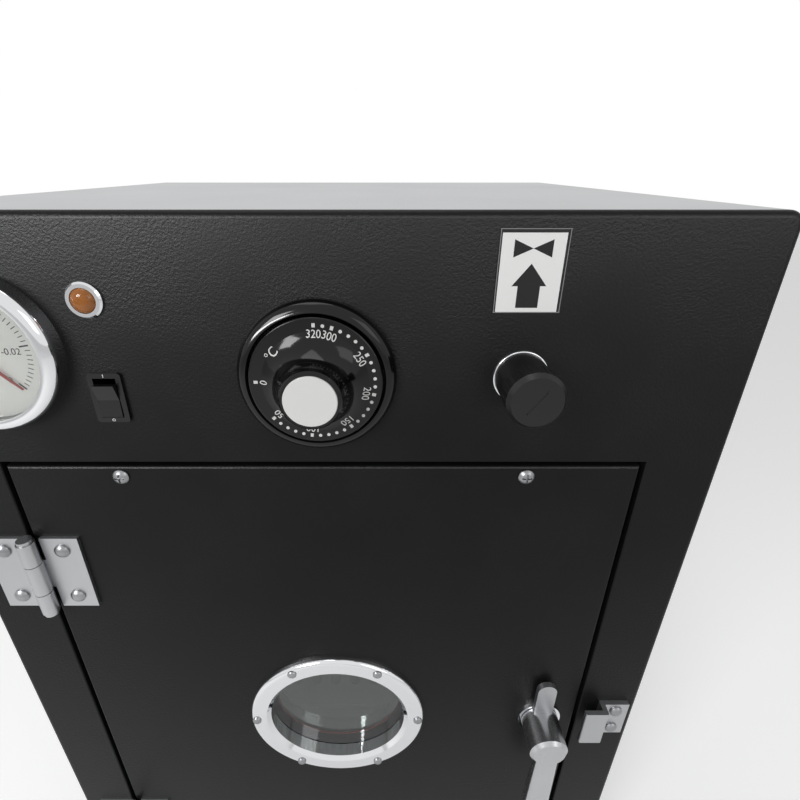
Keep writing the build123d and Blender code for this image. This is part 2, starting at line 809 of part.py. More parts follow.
# ---------------------------------------------------------------- thermostat
def thermostat_bezel():
    """Convex ring round the dial."""
    crown = ThreePointArc((dial_bezel_inner + 0.8, -dial_bezel_proud),
                          (dial_bezel_radius - 1.6, -dial_bezel_proud * 0.8), (dial_bezel_radius, -1.0))
    rest = Polyline((dial_bezel_radius, -1.0), (dial_bezel_radius, 0), (dial_bezel_inner, 0),
                    (dial_bezel_inner, -dial_bezel_proud + 0.8), (dial_bezel_inner + 0.8, -dial_bezel_proud))
    return turned(crown + rest, 0, dial_z)


def thermostat_knob():
    """Skirted dial: a flat skirt that flares up into a stem with a recess for its cap."""
    bore = dial_spindle_radius + seat_gap
    recess = cap_radius + seat_gap
    floor = -knob_front + cap_depth - cap_proud
    lower = Polyline((bore, floor), (bore, -skirt_back), (skirt_radius, -skirt_back),
                     (skirt_radius, -skirt_front + 0.8))
    rim = ThreePointArc((skirt_radius, -skirt_front + 0.8), (skirt_radius - 0.23, -skirt_front + 0.23),
                        (skirt_radius - 0.8, -skirt_front))
    face = Line((skirt_radius - 0.8, -skirt_front), (flare_radius, -skirt_front))
    flare = ThreePointArc((flare_radius, -skirt_front), (stem_radius + 2.4, -skirt_front - 6.4),
                          (stem_radius, -knob_front + 0.8))
    top = Polyline((stem_radius, -knob_front + 0.8), (stem_radius - 0.8, -knob_front), (recess, -knob_front),
                   (recess, floor), (bore, floor))
    return turned(lower + rim + face + flare + top, 0, dial_z)


def thermostat_cap():
    """Pale disc in the knob's end."""
    cap = rod(cap_radius, -knob_front - cap_proud, -knob_front - cap_proud + cap_depth, 0, dial_z)
    return fillet(cap.edges().sort_by(Axis.Y)[0], 0.4)


def thermostat_spindle():
    """Shaft from the regulator into the knob."""
    return rod(dial_spindle_radius, -knob_front + cap_depth + 1, front_sheet + neck_length + 1, 0, dial_z)


def thermostat_body():
    """Round regulator with its mounting bridge behind the fascia."""
    bridge_back = front_sheet + bridge_sheet
    bridge = slab(SlotOverall(bridge_length, bridge_width), front_sheet, bridge_back, 0, dial_z)
    for x, z in dial_screws():
        bridge -= rod(screw_radius + screw_clearance, front_sheet, bridge_back, x, z)
    can_front = front_sheet + neck_length
    can = rod(thermostat_radius, can_front, front_sheet + thermostat_depth, 0, dial_z)
    can = chamfer(can.edges(), 1.5)
    neck = rod(neck_radius, front_sheet, can_front, 0, dial_z)
    return bridge + neck + can - rod(dial_spindle_radius + running_fit, 0, can_front + 2, 0, dial_z)


def thermostat_capillary():
    """Thin tube from the regulator down to the bulb on the chamber's roof."""
    start = front_sheet + thermostat_depth
    route = [(0, start, dial_z), (0, capillary_drop, dial_z), (bulb_x, capillary_drop, dial_z),
             (bulb_x, capillary_drop, bulb_z), (bulb_x, bulb_start, bulb_z)]
    bulb = rod(bulb_radius, bulb_start, bulb_end, bulb_x, bulb_z)
    return tube_along(route, capillary_bend, capillary_radius, 0) + bulb


# ---------------------------------------------------------------- vacuum release valve
def release_ring():
    """Bright washer between the knob and the fascia."""
    ring = rod(ring_radius, -ring_proud, 0, valve_x, valve_z)
    ring = fillet(ring.edges().sort_by(Axis.Y)[0], 0.6)
    return ring - rod(valve_spindle_radius + sheet_gap, -ring_proud, 0, valve_x, valve_z)


def release_knob():
    """Black knob with a fluted band, a bevelled rim and a slot across its face."""
    back = -ring_proud - latch_gap
    shoulder = -valve_knob_front + knob_bevel
    wide = knob_radius + band_wide
    nose = Polyline((0, shoulder), (wide, shoulder), (knob_face_radius, -valve_knob_front),
                    (0, -valve_knob_front), (0, shoulder))
    body = rod(knob_radius, shoulder, back, valve_x, valve_z) + turned(nose, valve_x, valve_z)
    band = rod(wide, shoulder, shoulder + band_length, valve_x, valve_z)
    flute = rod(flute_radius, -valve_knob_front, shoulder + band_length, valve_x, valve_z)
    reach = wide + flute_radius / 2
    for i in range(flute_count):
        angle = 2 * math.pi * i / flute_count
        band -= Pos(reach * math.sin(angle), 0, reach * math.cos(angle)) * flute
    body += band
    body -= rod(valve_spindle_radius + seat_gap, -valve_knob_front + knob_web, back, valve_x, valve_z)
    slot = Rot(0, 0, 54) * Rectangle(knob_face_radius * 1.2, knob_slot_width)
    return body - slab(slot, -valve_knob_front, -valve_knob_front + knob_slot_depth, valve_x, valve_z)


valve_end = front_sheet + valve_body_depth
needle_back = valve_end - 8
needle_front = front_sheet + 16
spindle_step = front_sheet + 12


def release_spindle():
    """Non-rising spindle whose thinner end drives the needle."""
    front = -valve_knob_front + knob_web + seat_gap
    shaft = rod(valve_spindle_radius, front, spindle_step, valve_x, valve_z)
    collar_front = front_sheet + 6
    collar_radius = valve_spindle_radius + collar_wide
    collar = rod(collar_radius, collar_front, collar_front + collar_thick, valve_x, valve_z)
    return shaft + collar + rod(needle_pin_radius, spindle_step, spindle_step + 8, valve_x, valve_z)


def release_needle():
    """Pointed plunger on the spindle's end, which closes the seat at the back."""
    bore = needle_pin_radius + running_fit
    floor = needle_front + 8
    outline = Polyline((bore, needle_front), (needle_radius, needle_front), (needle_radius, needle_back - 6),
                       (0, needle_back - 1), (0, floor), (bore, floor), (bore, needle_front))
    return turned(outline, valve_x, valve_z)


def release_body():
    """Brass valve body behind the fascia with a nut, the needle's bore and the seat."""
    front_wall = front_sheet + 5.5
    groove_end = front_wall + collar_thick + 1
    shaft = valve_spindle_radius + running_fit
    groove = shaft + collar_wide
    barrel = needle_radius + running_fit
    body = rod(valve_body_radius - seat_gap, 0, valve_end, valve_x, valve_z)
    body += slab(RegularPolygon(valve_body_radius + 5, 6), front_sheet, front_sheet + valve_nut_thick,
                 valve_x, valve_z)
    bore = Polyline((0, 0), (shaft, 0), (shaft, front_wall), (groove, front_wall), (groove, groove_end),
                    (barrel, groove_end), (barrel, needle_back - 6), (seat_bore, needle_back),
                    (seat_bore, valve_end), (0, valve_end), (0, 0))
    return body - turned(bore, valve_x, valve_z)


# ---------------------------------------------------------------- vacuum line
def manifold_block():
    """Brass block where the vacuum tubes meet, on top of the chamber's port."""
    low = valve_z - manifold_size / 2
    half = manifold_size / 2
    solid = block(manifold_x - half, manifold_x + half, manifold_depth - half, manifold_depth + half,
                  low, gauge_z + half / 2)
    solid = chamfer(solid.edges().filter_by(Axis.Z), 1.5)
    solid -= post(port_bore, manifold_x, manifold_depth, low, gauge_z)
    solid -= rod(tube_radius - tube_wall, manifold_depth, manifold_depth + half, manifold_x, valve_z)
    for side, z in ((-1, gauge_z), (1, valve_z)):
        x0, x1 = sorted((manifold_x, manifold_x + side * half))
        bore = Rot(0, 90, 0) * Cylinder(tube_radius - tube_wall, half)
        solid -= Pos((x0 + x1) / 2, front_y + manifold_depth, z) * bore
    return solid


def chamber_port():
    """Pipe from the chamber's roof up to the manifold."""
    low = shell_top - chamber_wall - 3
    high = valve_z - manifold_size / 2
    pipe = post(port_radius, manifold_x, manifold_depth, low, high)
    return pipe - post(port_bore, manifold_x, manifold_depth, low, high)


def vacuum_tubes():
    """Copper tubes from the gauge, from the valve and to the rear nozzle."""
    bore = tube_radius - tube_wall
    half = manifold_size / 2
    gauge_back = gauge_depth + gauge_stem_length
    gauge_line = [(gauge_x, gauge_back, gauge_z), (gauge_x, manifold_depth, gauge_z),
                  (manifold_x - half, manifold_depth, gauge_z)]
    valve_line = [(valve_x, valve_end, valve_z), (valve_x, manifold_depth, valve_z),
                  (manifold_x + half, manifold_depth, valve_z)]
    start = manifold_depth + half
    end = body_depth - nozzle_tail
    rear_line = rod(tube_radius, start, end, manifold_x, valve_z)
    rear_line -= rod(bore, start, end, manifold_x, valve_z)
    return [tube_along(gauge_line, tube_bend, tube_radius, bore),
            tube_along(valve_line, tube_bend, tube_radius, bore), rear_line]


def vacuum_nozzle():
    """Hose nozzle through the rear panel. It reaches as far back as the dial reaches forward."""
    end = body_depth + knob_front + cap_proud
    tail = rod(nozzle_radius, body_depth, end, manifold_x, valve_z)
    tail = chamfer(tail.edges().sort_by(Axis.Y)[-1], 0.8)
    hexagon = RegularPolygon(nozzle_flange, 6)
    nozzle = tail + slab(hexagon, body_depth, body_depth + nozzle_hex, manifold_x, valve_z)
    nozzle += rod(port_radius - seat_gap, body_depth - nozzle_tail, body_depth, manifold_x, valve_z)
    return nozzle - rod(nozzle_bore, body_depth - nozzle_tail, end, manifold_x, valve_z)


def nozzle_nut():
    """Locknut inside the rear panel."""
    ring = RegularPolygon(nozzle_flange, 6) - Circle(port_radius)
    return slab(ring, body_depth - cover_sheet - nozzle_hex, body_depth - cover_sheet, manifold_x, valve_z)


def power_inlet():
    """Appliance inlet with a flange on the rear panel and an open socket."""
    z = foot_height + inlet_rise
    lid = RectangleRounded(inlet_width + 2 * inlet_flange, inlet_height + 2 * inlet_flange, 3)
    hole = RectangleRounded(inlet_width - 2 * inlet_wall, inlet_height - 2 * inlet_wall, 3)
    flange = slab(lid, body_depth, body_depth + inlet_proud, inlet_x, z)
    shell = slab(Rectangle(inlet_width, inlet_height), body_depth - inlet_depth, body_depth, inlet_x, z)
    return flange + shell - slab(hole, body_depth - socket_depth, body_depth + inlet_proud, inlet_x, z)


def inlet_pin(shift, rise):
    """Flat contact pin in the inlet."""
    x = inlet_x + shift
    z = foot_height + inlet_rise + rise
    return block(x - 2, x + 2, body_depth - socket_depth, body_depth - 2, z - 1, z + 1)


# ---------------------------------------------------------------- gauge, switch, lamp, label
glass_y = gauge_lip - gauge_bezel_proud
glass_rear = glass_y + gauge_glass_thick
dial_front = glass_rear + 3
pointer_front = dial_front - 2


def gauge_case():
    """Pressed cup with the gauge's threaded stem."""
    cup = rod(gauge_radius, glass_rear, gauge_depth, gauge_x, gauge_z)
    cup -= rod(gauge_radius - gauge_wall, glass_rear, gauge_depth - gauge_wall, gauge_x, gauge_z)
    boss = rod(6, dial_front + 3, gauge_depth, gauge_x, gauge_z)
    stem = rod(gauge_stem_radius, gauge_depth, gauge_depth + gauge_stem_length, gauge_x, gauge_z)
    return cup + boss + stem - rod(arbor_radius + running_fit, dial_front, dial_front + 12, gauge_x, gauge_z)


def gauge_bezel():
    """Bright ring that holds the gauge's glass and stands on the fascia."""
    mouth = gauge_radius - gauge_lip
    seat = gauge_radius + seat_gap
    crown = ThreePointArc((mouth, -gauge_bezel_proud), (gauge_bezel_radius - 1.2, -gauge_bezel_proud + 1.2),
                          (gauge_bezel_radius, -gauge_bezel_proud + 4))
    rest = Polyline((gauge_bezel_radius, -gauge_bezel_proud + 4), (gauge_bezel_radius, 0), (seat, 0),
                    (seat, glass_y), (mouth, glass_y), (mouth, -gauge_bezel_proud))
    return turned(crown + rest, gauge_x, gauge_z)


def gauge_glass():
    """Flat glass under the gauge's bezel."""
    return rod(gauge_radius, glass_y, glass_rear, gauge_x, gauge_z)


def gauge_dial():
    """Dial plate inside the gauge."""
    plate = rod(gauge_radius - gauge_wall - seat_gap, dial_front, dial_front + 1, gauge_x, gauge_z)
    return plate - rod(arbor_radius + running_fit, dial_front, dial_front + 1, gauge_x, gauge_z)


def gauge_pointer():
    """Needle on its arbor, at the zero end of the scale."""
    length = gauge_radius * 0.72
    needle = Polygon((-1.2, -length * 0.3), (1.2, -length * 0.3), (0.9, 0), (0.3, length), (-0.3, length),
                     (-0.9, 0), align=None)
    outline = Circle(3) + Rot(0, 0, -135) * needle
    pointer = slab(outline, pointer_front, pointer_front + 0.8, gauge_x, gauge_z)
    return pointer + rod(arbor_radius, pointer_front, dial_front + 10, gauge_x, gauge_z)


def switch_housing():
    """Snap-in frame of the mains switch."""
    z = top_z - switch_drop
    rim = RectangleRounded(switch_width, switch_height, switch_rim)
    frame = slab(rim, -switch_proud, 0, panel_column_x, z)
    frame += slab(Rectangle(switch_width - 2 * switch_rim, switch_height - 2 * switch_rim), 0, switch_depth,
                  panel_column_x, z)
    well = Rectangle(rocker_width + 0.6, switch_height - 5)
    frame -= slab(well, -switch_proud, switch_well, panel_column_x, z)
    pivot = Rot(0, 90, 0) * Cylinder(arbor_radius + running_fit, rocker_width + 2)
    return frame - Pos(panel_column_x, front_y + switch_pivot_depth, z) * pivot


def switch_rocker():
    """Rocker on its pivot, tilted to off."""
    z = top_z - switch_drop
    half = switch_height / 2 - 4
    wedge = Polygon((-half + 0.8, 0), (-3, -5.8), (3, -5.8), (half - 0.8, 0), (half, 3.5), (0, 2.0),
                    (-half, 3.5), align=None)
    side = Plane(origin=(panel_column_x - rocker_width / 2, front_y, z), x_dir=(0, 0, 1), z_dir=(1, 0, 0))
    body = extrude(side.location * wedge, amount=rocker_width)
    pivot = (panel_column_x, front_y + switch_pivot_depth, z)
    body += Pos(*pivot) * Rot(0, 90, 0) * Cylinder(arbor_radius, rocker_width + 1.6)
    return body.rotate(Axis(pivot, (1, 0, 0)), rocker_tilt)


def lamp_holder():
    """Snap-in holder of the pilot lamp."""
    z = top_z - lamp_drop
    holder = rod(lamp_radius, -lamp_proud, 0, panel_column_x, z)
    holder = chamfer(holder.edges().sort_by(Axis.Y)[0], 0.8)
    holder += rod(lamp_radius * 0.8, 0, lamp_depth, panel_column_x, z)
    return holder - rod(lamp_radius * 0.7, -lamp_proud, lens_depth, panel_column_x, z)


def lamp_lens():
    """Domed lens of the pilot lamp."""
    reach = lamp_radius * 0.7 - seat_gap
    dome = ThreePointArc((0, -4), (reach * 0.75, -3.0), (reach, -1.4))
    rest = Polyline((reach, -1.4), (reach, lens_depth), (0, lens_depth), (0, -4))
    return turned(dome + rest, panel_column_x, top_z - lamp_drop)


def label_plate():
    """Blank plate over the release valve."""
    outline = RectangleRounded(label_width, label_height, 0.8)
    return slab(outline, -label_thick, 0, label_x, top_z - label_drop)


# ---------------------------------------------------------------- write every node
os.makedirs("parts", exist_ok=True)

save("front_frame", front_frame())
save("casing_cover", casing_cover())
save("base_pan", base_pan())
save("rear_panel", rear_panel())
save("divider", divider())
save("feet", *[foot(x, depth) for x, depth in foot_places()])
save("foot_screws", *[foot_screw(x, depth) for x, depth in foot_places()])
save("casing_screws",
     *[place * screw for place in side_screws()],
     *[facing(x, -hinge_leaf, z) * screw for x, z in hinge_screws(-1)],
     *[facing(x, -keeper_sheet, z) * screw for x, z in keeper_screws()],
     *[facing(x, 0, z) * screw for x, z in dial_screws()])

save("chamber_shell", chamber_shell())
save("chamber_flange", chamber_flange())
save("chamber_ribs", *[chamber_rib(depth) for depth in rib_depths])
save("chamber_stands", *[chamber_stand(depth) for depth in rib_depths])
save("heater_pads", heater_pad(-1), heater_pad(1))
save("chamber_insulation", chamber_insulation())
save("shelf_rails", *[shelf_rail(side, z) for side in (-1, 1) for z in shelf_zs])
save("shelves", *[shelf(z) for z in shelf_zs])

save("door_skin", door_skin())
save("door_rails", door_rail(-1), door_rail(1))
save("door_insulation", door_insulation())
save("door_plate", door_plate())
save("door_gasket", door_gasket())
save("door_screws",
     *[facing(x, 0, z) * (screw - cross_recess()) for x, z in door_face_screws()],
     *[facing(x, -hinge_leaf, z) * screw for x, z in hinge_screws(1)])
save("window_glass", rod(glass_radius, glass_front, glass_back, 0, door_z))
save("window_gasket", rod(glass_radius, glass_back, pan_depth, 0, door_z)
     - rod(window_radius, glass_back, pan_depth, 0, door_z))
save("window_bezel", window_bezel())
save("window_screws", *[facing(x, -bezel_proud, z) * small_screw for x, z in window_screws()])

save("frame_hinges",
     *[hinge_half(-1, z, outer_spans, seat_gap) for z in hinge_zs],
     *[hinge_pin(z) for z in hinge_zs])
save("door_hinges", *[hinge_half(1, z, middle_span, running_fit) for z in hinge_zs])
save("latch_bush", latch_bush())
save("latch_nut", latch_nut())
save("latch_spindle", latch_spindle())
save("latch_cam", latch_cam())
save("latch_lever", latch_lever())
save("latch_keeper", latch_keeper())

save("thermostat_bezel", thermostat_bezel())
save("thermostat_knob", thermostat_knob())
save("thermostat_cap", thermostat_cap())
save("thermostat_spindle", thermostat_spindle())
save("thermostat_body", thermostat_body())
save("thermostat_capillary", thermostat_capillary())

save("release_ring", release_ring())
save("release_knob", release_knob())
save("release_spindle", release_spindle())
save("release_needle", release_needle())
save("release_body", release_body())

save("manifold_block", manifold_block())
save("chamber_port", chamber_port())
save("vacuum_tubes", *vacuum_tubes())
save("vacuum_nozzle", vacuum_nozzle(), nozzle_nut())
save("power_inlet", power_inlet(), inlet_pin(-7, -2), inlet_pin(7, -2), inlet_pin(0, 3))

save("gauge_case", gauge_case())
save("gauge_bezel", gauge_bezel())
save("gauge_glass", gauge_glass())
save("gauge_dial", gauge_dial())
save("gauge_pointer", gauge_pointer())
save("switch_housing", switch_housing())
save("switch_rocker", switch_rocker())
save("lamp_holder", lamp_holder())
save("lamp_lens", lamp_lens())
save("label_plate", label_plate())
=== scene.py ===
# %% [markdown]
# # A compact bench vacuum oven
# The frame holds the oven's solids at their real size. This script gives each of them its finish,
# adds the printing on the dial, label, gauge and switch, and sets a soft studio with a camera that
# looks down on the control fascia from close by.

# %% Load the frame
import bpy
import math
import numpy as np
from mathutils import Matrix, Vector


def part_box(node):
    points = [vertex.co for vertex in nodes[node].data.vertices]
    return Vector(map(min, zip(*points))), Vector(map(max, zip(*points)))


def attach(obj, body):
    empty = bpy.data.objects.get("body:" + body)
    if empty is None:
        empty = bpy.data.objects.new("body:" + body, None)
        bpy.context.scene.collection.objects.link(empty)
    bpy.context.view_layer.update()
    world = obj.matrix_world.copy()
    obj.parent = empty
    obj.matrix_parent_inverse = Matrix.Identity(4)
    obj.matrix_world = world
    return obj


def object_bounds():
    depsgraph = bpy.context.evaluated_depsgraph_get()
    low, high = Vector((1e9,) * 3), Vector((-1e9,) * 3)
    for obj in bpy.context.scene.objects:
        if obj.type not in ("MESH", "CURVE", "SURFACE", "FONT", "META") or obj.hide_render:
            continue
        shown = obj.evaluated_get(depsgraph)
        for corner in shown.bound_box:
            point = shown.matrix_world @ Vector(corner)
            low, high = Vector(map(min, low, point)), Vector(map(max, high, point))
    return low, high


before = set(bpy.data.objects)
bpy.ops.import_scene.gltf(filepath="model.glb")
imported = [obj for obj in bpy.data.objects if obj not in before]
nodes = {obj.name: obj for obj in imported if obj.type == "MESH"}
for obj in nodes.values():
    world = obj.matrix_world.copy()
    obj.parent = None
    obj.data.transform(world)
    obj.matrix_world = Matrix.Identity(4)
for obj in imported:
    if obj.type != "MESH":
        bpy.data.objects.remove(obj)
cad_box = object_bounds()
scene = bpy.context.scene
MM = 0.001
print("frame loaded:", len(nodes), "nodes")

# %% [markdown]
# Colours are written as sRGB hex values, as a paint chart gives them. Shaders work in linear light,
# so one function turns the first into the second. A second helper adds a node, sets its inputs and
# makes its links in one call, which keeps each material short enough to read at a glance.

# %% Colour and node helpers
def linear(code):
    """Linear RGBA of an sRGB hex colour: a short straight part near black, then a power of 2.4."""
    channels = [int(code[i:i + 2], 16) / 255 for i in (1, 3, 5)]
    return [c / 12.92 if c <= 0.04045 else ((c + 0.055) / 1.055) ** 2.4 for c in channels] + [1.0]


def add(tree, kind, inputs=None, links=None, **settings):
    """Add a node, set its properties and inputs, and link other sockets into it."""
    node = tree.nodes.new(kind)
    for name, value in settings.items():
        setattr(node, name, value)
    for name, value in (inputs or {}).items():
        node.inputs[name].default_value = value
    for name, socket in (links or {}).items():
        tree.links.new(socket, node.inputs[name])
    return node


def blank_material(name):
    """Material with an empty principled shader, and its object coordinates."""
    material = bpy.data.materials.new(name)
    material.use_nodes = True
    tree = material.node_tree
    tree.nodes.clear()
    shader = add(tree, "ShaderNodeBsdfPrincipled")
    add(tree, "ShaderNodeOutputMaterial", links={"Surface": shader.outputs["BSDF"]})
    place = add(tree, "ShaderNodeTexCoord").outputs["Object"]
    return material, tree, shader, place


def per_metre(size_mm):
    """Texture scale at which one feature of a pattern is about size_mm across."""
    return 1000.0 / size_mm


# %% [markdown]
# The front and the door are mild steel with a textured black powder coat. The powder melts into
# small rounded hills with flat valleys between them, so the sheet looks matt from afar and sparkles
# near a bend. Two sizes of noise feed the bump, and a slow third one varies the gloss and the
# height of the grain, as uneven spraying and baking do.

# %% Textured powder coat
FINE_GRAIN = 0.45       # size of the fine grain against the coarse one
FINE_SHARE = 0.35       # and its share of the height
SPRAY_PATCH_MM = 60     # spread of the gun's passes


def powder_coat(name, code, worn_code, grain_mm, height_mm, gloss, shine):
    """Powder coat: rounded grains of two sizes raise the surface, and the gloss drifts slowly."""
    material, tree, shader, place = blank_material(name)
    coarse = add(tree, "ShaderNodeTexNoise",
                 {"Scale": per_metre(grain_mm), "Detail": 2.0, "Roughness": 0.55}, {"Vector": place})
    fine = add(tree, "ShaderNodeTexVoronoi", {"Scale": per_metre(grain_mm * FINE_GRAIN)},
               {"Vector": place}, feature="SMOOTH_F1")
    blend = add(tree, "ShaderNodeMath", {1: FINE_SHARE},
                {0: fine.outputs["Distance"], 2: coarse.outputs["Fac"]}, operation="MULTIPLY_ADD")
    cloud = add(tree, "ShaderNodeTexNoise", {"Scale": per_metre(SPRAY_PATCH_MM), "Detail": 3.0},
                {"Vector": place})
    patches = add(tree, "ShaderNodeMapRange",
                  {"From Min": 0.4, "From Max": 0.65, "To Min": 0.35, "To Max": 1.0},
                  {"Value": cloud.outputs["Fac"]})
    bump = add(tree, "ShaderNodeBump", {"Distance": height_mm * MM},
               {"Height": blend.outputs["Value"], "Strength": patches.outputs["Result"]})
    rough = add(tree, "ShaderNodeMapRange", {"To Min": gloss - 0.05, "To Max": gloss + 0.07},
                {"Value": cloud.outputs["Fac"]})
    tint = add(tree, "ShaderNodeMix", {"A": linear(code), "B": linear(worn_code)},
               {"Factor": cloud.outputs["Fac"]}, data_type="RGBA")
    tree.links.new(tint.outputs["Result"], shader.inputs["Base Color"])
    tree.links.new(rough.outputs["Result"], shader.inputs["Roughness"])
    tree.links.new(bump.outputs["Normal"], shader.inputs["Normal"])
    shader.inputs["Specular IOR Level"].default_value = shine
    return material


black_powder = powder_coat("Textured black powder coat", "#0d0d0e", "#131314",
                           grain_mm=1.4, height_mm=0.20, gloss=0.38, shine=0.09)

# %% [markdown]
# The cover is ferritic stainless sheet with a brushed finish. An abrasive belt leaves fine parallel
# scratches, so the highlight stretches across them into a soft band. Noise that is squeezed hard
# across the grain and pulled along it draws the scratches, and the same recipe with other colours
# serves the chamber, the zinc-plated panels and the aluminium shelves.

# %% Rolled and brushed metals
SCRATCH_LENGTH = 60     # length of a scratch in widths of it
SHEET_PATCH_MM = 90     # slow drift of a rolled sheet's colour


def brushed_metal(name, code, dark_code, rough, grain_mm, along, height_mm=0.01):
    """Metal with scratches grain_mm wide that run along one axis of the object."""
    material, tree, shader, place = blank_material(name)
    squeeze = [per_metre(grain_mm)] * 3
    squeeze["XYZ".index(along)] = per_metre(grain_mm * SCRATCH_LENGTH)
    stretched = add(tree, "ShaderNodeMapping", {"Scale": squeeze}, {"Vector": place})
    scratch = add(tree, "ShaderNodeTexNoise", {"Scale": 1.0, "Detail": 3.0, "Roughness": 0.6},
                  {"Vector": stretched.outputs["Vector"]})
    cloud = add(tree, "ShaderNodeTexNoise", {"Scale": per_metre(SHEET_PATCH_MM), "Detail": 2.0},
                {"Vector": place})
    tint = add(tree, "ShaderNodeMix", {"A": linear(dark_code), "B": linear(code)},
               {"Factor": cloud.outputs["Fac"]}, data_type="RGBA")
    spread = add(tree, "ShaderNodeMapRange", {"To Min": rough - 0.06, "To Max": rough + 0.08},
                 {"Value": scratch.outputs["Fac"]})
    bump = add(tree, "ShaderNodeBump", {"Strength": 0.3, "Distance": height_mm * MM},
               {"Height": scratch.outputs["Fac"]})
    shader.inputs["Metallic"].default_value = 1.0
    tree.links.new(tint.outputs["Result"], shader.inputs["Base Color"])
    tree.links.new(spread.outputs["Result"], shader.inputs["Roughness"])
    tree.links.new(bump.outputs["Normal"], shader.inputs["Normal"])
    return material


cover_steel = brushed_metal("Brushed stainless cover", "#adaeaf", "#9c9d9f", 0.42, 0.5, "Y")
chamber_steel = brushed_metal("Satin stainless chamber", "#b9babc", "#a4a6a8", 0.34, 0.4, "X")
zinc_sheet = brushed_metal("Zinc-plated sheet", "#a9adb2", "#8f9499", 0.40, 2.5, "X")
shelf_metal = brushed_metal("Satin aluminium shelf", "#c6c8ca", "#b5b7b9", 0.38, 0.5, "Y")
screw_metal = brushed_metal("Zinc-plated screw", "#a4a5a7", "#808284", 0.32, 0.3, "X")
handle_metal = brushed_metal("Satin chrome casting", "#c4c5c7", "#aaabad", 0.24, 0.6, "Z")
copper = brushed_metal("Drawn copper tube", "#c07a50", "#9c5a38", 0.28, 0.5, "Y")
brass = brushed_metal("Turned brass", "#c6a25a", "#a98443", 0.26, 0.4, "Y")

# %% [markdown]
# Chrome plate, mouldings and rubber differ mostly in gloss. A phenolic dial is compression moulded
# in a polished tool and comes out like black glass, a valve knob is a satin nylon, and a foot is a
# dull rubber. Each still gets the faint unevenness of its making, or it looks like a drawing.

# %% Mouldings, plating and rubber
FLOW_MM = 25            # drift of the gloss, as the moulded material flows


def moulded(name, code, rough, grain_mm, height_mm, drift=0.05, metal=0.0, shine=0.5):
    """Evenly coloured finish with a fine skin texture and a gloss that drifts a little."""
    material, tree, shader, place = blank_material(name)
    skin = add(tree, "ShaderNodeTexNoise", {"Scale": per_metre(grain_mm), "Detail": 3.0},
               {"Vector": place})
    cloud = add(tree, "ShaderNodeTexNoise", {"Scale": per_metre(FLOW_MM), "Detail": 4.0},
                {"Vector": place})
    spread = add(tree, "ShaderNodeMapRange",
                 {"To Min": max(rough - drift, 0.02), "To Max": rough + drift},
                 {"Value": cloud.outputs["Fac"]})
    bump = add(tree, "ShaderNodeBump", {"Strength": 0.4, "Distance": height_mm * MM},
               {"Height": skin.outputs["Fac"]})
    shader.inputs["Base Color"].default_value = linear(code)
    shader.inputs["Metallic"].default_value = metal
    shader.inputs["Specular IOR Level"].default_value = shine
    tree.links.new(spread.outputs["Result"], shader.inputs["Roughness"])
    tree.links.new(bump.outputs["Normal"], shader.inputs["Normal"])
    return material


gloss_black = moulded("Polished black phenolic", "#080809", 0.11, 3.0, 0.01, 0.04, shine=0.3)
satin_black = moulded("Satin black nylon", "#121213", 0.30, 0.9, 0.05, shine=0.35)
white_plastic = moulded("White polished cap", "#e0e0de", 0.22, 4.0, 0.01)
chrome = moulded("Chrome plate", "#dcdddf", 0.08, 5.0, 0.002, 0.03, metal=1.0)
foot_rubber = moulded("Moulded rubber", "#1a1a1a", 0.72, 0.8, 0.06)
silicone = moulded("Red silicone rubber", "#8f2c1c", 0.48, 1.0, 0.03)
mica = moulded("Mica-covered heater", "#9b8d70", 0.55, 2.0, 0.05)
wool = moulded("Mineral wool", "#c9bf9e", 0.95, 1.2, 0.6)
label_film = moulded("Black label film", "#0f0f10", 0.18, 3.0, 0.01)
label_white = moulded("White label print", "#f0f0ef", 0.34, 2.0, 0.005)
# Grey for the strips round the label film: a painted highlight standing in for light caught by the film's
# cut edge.
edge_highlight_paint = moulded("Painted highlight on clear film edge", "#8a8a8a", 0.30, 2.0, 0.005)
ink_black = moulded("Black printing ink", "#292929", 0.65, 2.0, 0.005, shine=0.2)
ink_white = moulded("White printing ink", "#dededc", 0.45, 2.0, 0.005)
enamel = moulded("White gauge enamel", "#ebeae4", 0.30, 2.0, 0.005)
ink_red = moulded("Red printing ink", "#a02318", 0.40, 2.0, 0.005)

# %% [markdown]
# Real glass lets light through and bends it. The toughened window is thick and slightly green, the
# gauge glass is thin and clear, and the pilot lamp's lens is amber acrylic with a soft surface.

# %% Glass
SMEAR_MM = 30           # size of the faint smears on a pane


def clear(name, code, rough, ior, weight=1.0):
    """Transparent finish: the colour tints what passes through."""
    material, tree, shader, place = blank_material(name)
    smear = add(tree, "ShaderNodeTexNoise", {"Scale": per_metre(SMEAR_MM), "Detail": 4.0},
                {"Vector": place})
    spread = add(tree, "ShaderNodeMapRange", {"To Min": rough, "To Max": rough + 0.03},
                 {"Value": smear.outputs["Fac"]})
    shader.inputs["Base Color"].default_value = linear(code)
    shader.inputs["IOR"].default_value = ior
    shader.inputs["Transmission Weight"].default_value = weight
    tree.links.new(spread.outputs["Result"], shader.inputs["Roughness"])
    return material


window_glass = clear("Toughened window glass", "#e2eee8", 0.0, 1.5)
gauge_glass = clear("Gauge glass", "#f4f6f6", 0.0, 1.45)
amber_lens = clear("Amber acrylic lens", "#e8891c", 0.08, 1.49, 0.6)

